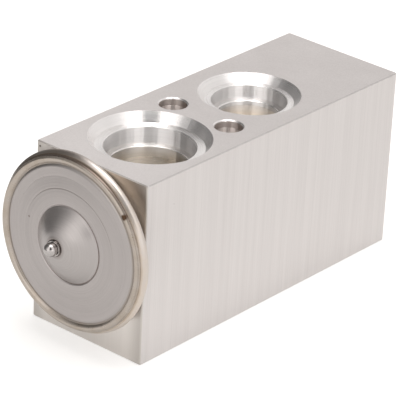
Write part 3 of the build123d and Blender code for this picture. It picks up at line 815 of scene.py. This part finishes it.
# Corners are (rise, radius, cut), as in curve_rows.
LID_RIM_CORNERS = (
    (4.9, SHEET_EDGE_RADIUS),  # sheet's edge, under the weld
    (6.2, 20.46, 0.32),
    (6.72, 19.95, 0.42),  # crown of the rolled rim
    (6.58, 19.1, 0.4),
    (6.04, 18.6, 0.3),  # crease
    (6.35, 18.05, 0.3),
    (6.40, 15.95, 0.1),  # plate, in two shallow steps
    (6.36, 15.8, 0.1),
    (6.65, 13.15, 0.05),
    (6.62, 13.02, 0.06),
    (6.66, 12.85, 0.05),
    (6.90, 9.4, 0.2),
    (6.68, 9.06, 0.12),  # groove at the dome's foot
    (6.98, 8.72, 0.1),
)
DOME_RISE, DOME_SLOPE, DOME_CURVE, DOME_SHIFT_GAIN = 10.55, 0.24, 0.0525, 1.6
DOME_RUN = np.linspace(6.15, 0.2, 48)
DOME_TOP_CORNERS = (
    (10.6, DOME_TOP_RADIUS - 0.1),
    (10.66, 2.0),
    (10.72, 1.15, 0.1),
    (10.5, CHARGE_HOLE_RADIUS),
)
LID_INNER_ROWS = (
    (9.75, CHARGE_HOLE_RADIUS),
    (9.75, DOME_TOP_RADIUS),
    (9.4, 3.4),
    (6.0, DOME_FOOT_RADIUS),
    (5.7, 12.8),
    (4.9, 17.2),
)
LID_STEP, LID_AROUND = 0.22, 256
LID_EDGE_RISE = 5.0  # rows below this, along the sheet's edge, have no waves
SPINNING_WAVE, PLATE_SWAY, RIM_WAVE = 0.006, 0.02, 0.012

WELD_CORNERS = (
    (5.85, 20.2), (5.75, 20.6, 0.25), (5.0, 21.2, 0.4), (4.2, 21.28, 0.35), (3.28, SHEET_EDGE_RADIUS),
)
WELD_INNER_ROWS = ((3.28, 20.1), (5.6, 20.1))
WELD_STEP, WELD_AROUND = 0.12, 768
TORCH_RIPPLES, TORCH_RIPPLE_HEIGHT = 96, 0.003
BEAD_SWAY = 0.02

BALL_RISE, BALL_RADIUS, BALL_ROWS, BALL_AROUND = 11.84, 1.6, 40, 64
FLASH_CENTRE_RISE, FLASH_HALF_RISE = 10.86, 0.26
FLASH_CENTRE_RADIUS, FLASH_HALF_WIDTH = 1.62, 0.36
FLASH_ROWS, FLASH_AROUND = 24, 96


def dome_drift(radius):
    """The lid's centre leans off the axis: the whole shift at the axis, fading to none at the dome's foot.

    The share of the shift is a smooth step of the way in from the foot, times a gain and held at one.
    """
    way_in = np.clip(1 - radius / DOME_FOOT_RADIUS, 0, 1)
    smooth = way_in * way_in * (3 - 2 * way_in)
    share = np.clip(smooth * DOME_SHIFT_GAIN, 0, 1)
    return DOME_SHIFT[0] * share, DOME_SHIFT[1] * share


def ball_drift(radius):
    """The charging ball and its flash stand on the lid's shifted centre."""
    return DOME_SHIFT[0] + 0 * radius, DOME_SHIFT[1] + 0 * radius


def make_pressed_lid():
    """Upper cover as one spun shell: rolled rim, creased foot, a faintly stepped plate and a conical centre.

    Out from the dome's top its rise falls by the slope times the way out, and by the curve times that way
    squared. The plate also waves by a sine of the radius and one of twice the turn, and the rim by a sine of
    eleven times the turn.
    """
    dome = [(DOME_RISE - DOME_SLOPE * out - DOME_CURVE * out**2, DOME_TOP_RADIUS + out) for out in DOME_RUN]
    outer_rows = curve_rows([*LID_RIM_CORNERS, *dome, *DOME_TOP_CORNERS], LID_STEP)
    profile = np.vstack([outer_rows, LID_INNER_ROWS])

    def ripple(rise, radius, turn):
        plate = np.clip((radius - 9.5) / 0.5, 0, 1) * np.clip((17.8 - radius) / 0.5, 0, 1)
        rim = np.clip((radius - 18.4) / 0.4, 0, 1)
        spinning = SPINNING_WAVE * np.sin(radius * 9.0) * plate
        sway = PLATE_SWAY * plate * np.sin(2 * turn + 0.6)
        hammering = RIM_WAVE * rim * np.sin(11 * turn + 1.3 * np.sin(3 * turn))
        return np.where(rise > LID_EDGE_RISE, spinning + sway + hammering, 0.0), np.zeros_like(radius * turn)

    points, faces = spun(profile, LID_AROUND, drift=dome_drift, ripple=ripple)
    lid_steel = finishes["lid_steel"]
    mesh_piece("pressed_lid", points, faces, "valve_body", lid_steel, ("upper_cover",))


def make_weld_bead():
    """Round weld run over the rim, with the small overlapping ripples that a turning torch leaves.

    A rounded profile is spun about the axis, and its outer part is pushed out by the size of a sine of the
    ripple count times the turn, bent by the square of the rise, and by a slow wave of five to a turn.
    """
    profile = np.vstack([curve_rows(WELD_CORNERS, WELD_STEP), WELD_INNER_ROWS])

    def ripple(rise, radius, turn):
        out = np.clip((radius - 20.5) / 0.4, 0, 1)
        scallop = TORCH_RIPPLE_HEIGHT * np.abs(np.sin(TORCH_RIPPLES * turn + (rise - 4.5) ** 2 * 1.2))
        return np.zeros_like(radius * turn), out * (scallop + BEAD_SWAY * np.sin(5 * turn + 1.0))

    points, faces = spun(profile, WELD_AROUND, ripple=ripple)
    weld_steel = finishes["weld_steel"]
    mesh_piece("rim_weld_bead", points, faces, "valve_body", weld_steel, ("rim_weld",))


def make_charging_ball():
    """Ball driven into the charging hole, with the raised ring of flash that holds it.

    The ball is a half circle spun about the lid's shifted centre. The flash is an ellipse spun about it. Its
    rise waves by sines of five and thirteen times the turn, and its radius by a sine of four times the turn.
    """
    t = np.linspace(0, pi, BALL_ROWS)[1:-1]
    ball_rows = np.stack([BALL_RISE + BALL_RADIUS * np.cos(t), BALL_RADIUS * np.sin(t)], axis=-1)
    profile = np.vstack([[(BALL_RISE + BALL_RADIUS, 0.0)], ball_rows, [(BALL_RISE - BALL_RADIUS, 0.0)]])
    points, faces = spun(profile, BALL_AROUND, drift=ball_drift)
    plug_steel = finishes["plug_steel"]
    mesh_piece("charging_ball", points, faces, "valve_body", plug_steel, ("charge_plug",))

    def ripple(rise, radius, turn):
        rise_wave = 0.05 * np.sin(5 * turn + 1.0) + 0.03 * np.sin(13 * turn) + 0 * radius
        return rise_wave, 0.04 * np.sin(4 * turn) + 0 * radius

    t = np.arange(FLASH_ROWS) * 2 * pi / FLASH_ROWS
    flash_rise = FLASH_CENTRE_RISE + FLASH_HALF_RISE * np.cos(t)
    flash_radius = FLASH_CENTRE_RADIUS + FLASH_HALF_WIDTH * np.sin(t)
    flash_rows = np.stack([flash_rise, flash_radius], axis=-1)
    points, faces = spun(flash_rows, FLASH_AROUND, drift=ball_drift, ripple=ripple)
    mesh_piece("charging_ball_flash", points, faces, "valve_body", plug_steel)


make_pressed_lid()
make_weld_bead()
make_charging_ball()


# ---------------------------------------------------------------- stage, light and camera

FLOOR_HALF = 3.0  # metres
FLOOR_PAPER, FLOOR_GLOW, UNLIT_GLOW = (0.56, 0.555, 0.545, 1), (1, 0.99, 0.98, 1), (1, 0.98, 0.96, 1)
GLOW_TO_METAL, GLOW_TO_CAMERA, GLOW_UNLIT = 0.38, 0.62, 0.16
UNLIT_FLOOR_X = (-0.10, -0.17)  # metres

# Brightness of the studio's walls by the turn from +X towards +Y, in degrees. Soft boxes stand all along the
# camera's side, and the far front-left corner is unlit.
WALL_LIGHT = (
    (-180, 0.20), (-150, 0.16), (-132, 0.45), (-116, 0.75), (-102, 1.45), (-80, 1.45),
    (-66, 1.1), (-50, 1.1), (-33, 1.25), (-22, 1.55), (-6, 1.35), (15, 1.0),
    (40, 0.82), (90, 0.84), (138, 0.84), (152, 0.24), (180, 0.20),
)
WALL_LIGHT_TOP = 1.6
WALL_TINT = (1.0, 0.975, 0.96, 1)
CEILING_LIGHT = 1.6
CEILING_START = (0.89, 0.96)  # sines of elevation
CAMERA_GAP = (-68, -27)  # degrees of turn of the dark slot that the camera and its stand leave
CAMERA_GAP_FOOT = 0.34  # sine of the elevation at which the slot starts
CAMERA_GAP_TOP = (0.985, 0.96)
CAMERA_GAP_LIGHT = 0.05

CAMERA_AZIMUTH, CAMERA_ELEVATION, CAMERA_ROLL = radians(39.438), radians(26.255), radians(3.058)
CAMERA_DISTANCE, CAMERA_TARGET = 673.37, (-0.064, 1.425, 22.0)
CAMERA_SENSOR, CAMERA_LENS = 36.0, 264.43


def make_floor():
    """Pale floor that shows white to the camera and keeps the object's shadow."""
    mesh = bpy.data.meshes.new("floor")
    corners = [(x * FLOOR_HALF, y * FLOOR_HALF, 0) for x, y in ((-1, -1), (1, -1), (1, 1), (-1, 1))]
    mesh.from_pydata(corners, [], [(0, 1, 2, 3)])
    floor = bpy.data.objects.new("floor", mesh)
    bpy.context.scene.collection.objects.link(floor)
    material = bpy.data.materials.new("floor_paper")
    material.use_nodes = True
    tree = material.node_tree
    tree.nodes.clear()
    paper = put(tree, "ShaderNodeBsdfDiffuse", FLOOR_PAPER)
    path = put(tree, "ShaderNodeLightPath").outputs
    seen = any_of(tree, path["Is Camera Ray"], path["Is Glossy Ray"])
    strength = mix_value(tree, path["Is Camera Ray"], GLOW_TO_METAL, GLOW_TO_CAMERA)
    glow = put(tree, "ShaderNodeEmission", FLOOR_GLOW, strength)
    shown = put(tree, "ShaderNodeAddShader", paper.outputs[0], glow.outputs[0])
    across = split_xyz(tree, put(tree, "ShaderNodeTexCoord").outputs["Object"])[0]
    unlit = both(tree, ramp(tree, across, *UNLIT_FLOOR_X), path["Is Glossy Ray"])
    dim = put(tree, "ShaderNodeEmission", UNLIT_GLOW, GLOW_UNLIT)
    shown = put(tree, "ShaderNodeMixShader", unlit, shown.outputs[0], dim.outputs[0])
    mix = put(tree, "ShaderNodeMixShader", seen, paper.outputs[0], shown.outputs[0])
    put(tree, "ShaderNodeOutputMaterial", mix.outputs[0])
    mesh.materials.append(material)


def make_world():
    """Studio surround: white to the camera, and to the metal walls that brighten and darken with the turn."""
    world = bpy.data.worlds.new("studio_surround")
    bpy.context.scene.world = world
    world.use_nodes = True
    tree = world.node_tree
    tree.nodes.clear()
    x, y, z = split_xyz(tree, put(tree, "ShaderNodeTexCoord").outputs["Generated"])
    turn = calc(tree, "DIVIDE", calc(tree, "ARCTAN2", y, x), 2 * pi)
    stops = [((degrees + 180) / 360, (light / WALL_LIGHT_TOP,) * 3 + (1,)) for degrees, light in WALL_LIGHT]
    wall = both(tree, colour_stops(tree, plus(tree, turn, 0.5), stops), WALL_LIGHT_TOP)
    room = mix_value(tree, ramp(tree, z, *CEILING_START), wall, CEILING_LIGHT)
    gap_low, gap_high = (degrees / 360 for degrees in CAMERA_GAP)
    gap = inside(tree, turn, gap_low, gap_high, 0.006)
    gap = both(tree, gap, ramp(tree, z, CAMERA_GAP_FOOT - 0.05, CAMERA_GAP_FOOT + 0.05))
    gap = both(tree, gap, ramp(tree, z, *CAMERA_GAP_TOP))
    surround = put(tree, "ShaderNodeBackground", WALL_TINT, mix_value(tree, gap, room, CAMERA_GAP_LIGHT))
    white = put(tree, "ShaderNodeBackground", (1, 1, 1, 1), 1.0)
    seen = put(tree, "ShaderNodeLightPath").outputs["Is Camera Ray"]
    mix = put(tree, "ShaderNodeMixShader", seen, surround.outputs[0], white.outputs[0])
    put(tree, "ShaderNodeOutputWorld", mix.outputs[0])


def add_lamp(name, place, size, power, target):
    """Square soft lamp facing a target; places in millimetres."""
    lamp = bpy.data.lights.new(name, "AREA")
    lamp.energy = power
    lamp.size = size * MM
    holder = bpy.data.objects.new(name, lamp)
    holder.location = Vector(place) * MM
    holder.rotation_euler = (Vector(target) * MM - holder.location).to_track_quat("-Z", "Y").to_euler()
    bpy.context.scene.collection.objects.link(holder)


def add_camera():
    """Camera by azimuth and elevation about a target point, then a roll about its view axis."""
    target = Vector(CAMERA_TARGET) * MM
    level = np.cos(CAMERA_ELEVATION)
    back_x, back_y = np.sin(CAMERA_AZIMUTH) * level, -np.cos(CAMERA_AZIMUTH) * level
    back = Vector((back_x, back_y, np.sin(CAMERA_ELEVATION)))
    right = (-back).cross(Vector((0, 0, 1))).normalized()
    up = right.cross(-back)
    rolled_right = np.cos(CAMERA_ROLL) * right + np.sin(CAMERA_ROLL) * up
    rolled_up = -np.sin(CAMERA_ROLL) * right + np.cos(CAMERA_ROLL) * up
    camera = bpy.data.objects.new("camera", bpy.data.cameras.new("camera"))
    camera.data.sensor_width = CAMERA_SENSOR
    camera.data.lens = CAMERA_LENS
    turned = Matrix((rolled_right, rolled_up, back)).transposed().to_4x4()
    camera.matrix_world = Matrix.Translation(target + back * (CAMERA_DISTANCE * MM)) @ turned
    bpy.context.scene.collection.objects.link(camera)
    bpy.context.scene.camera = camera


make_floor()
make_world()
add_lamp("ceiling_box", place=(60, 20, 820), size=520, power=2.0, target=(0, 0, 20))
add_camera()
bpy.context.scene.view_settings.view_transform = "Standard"
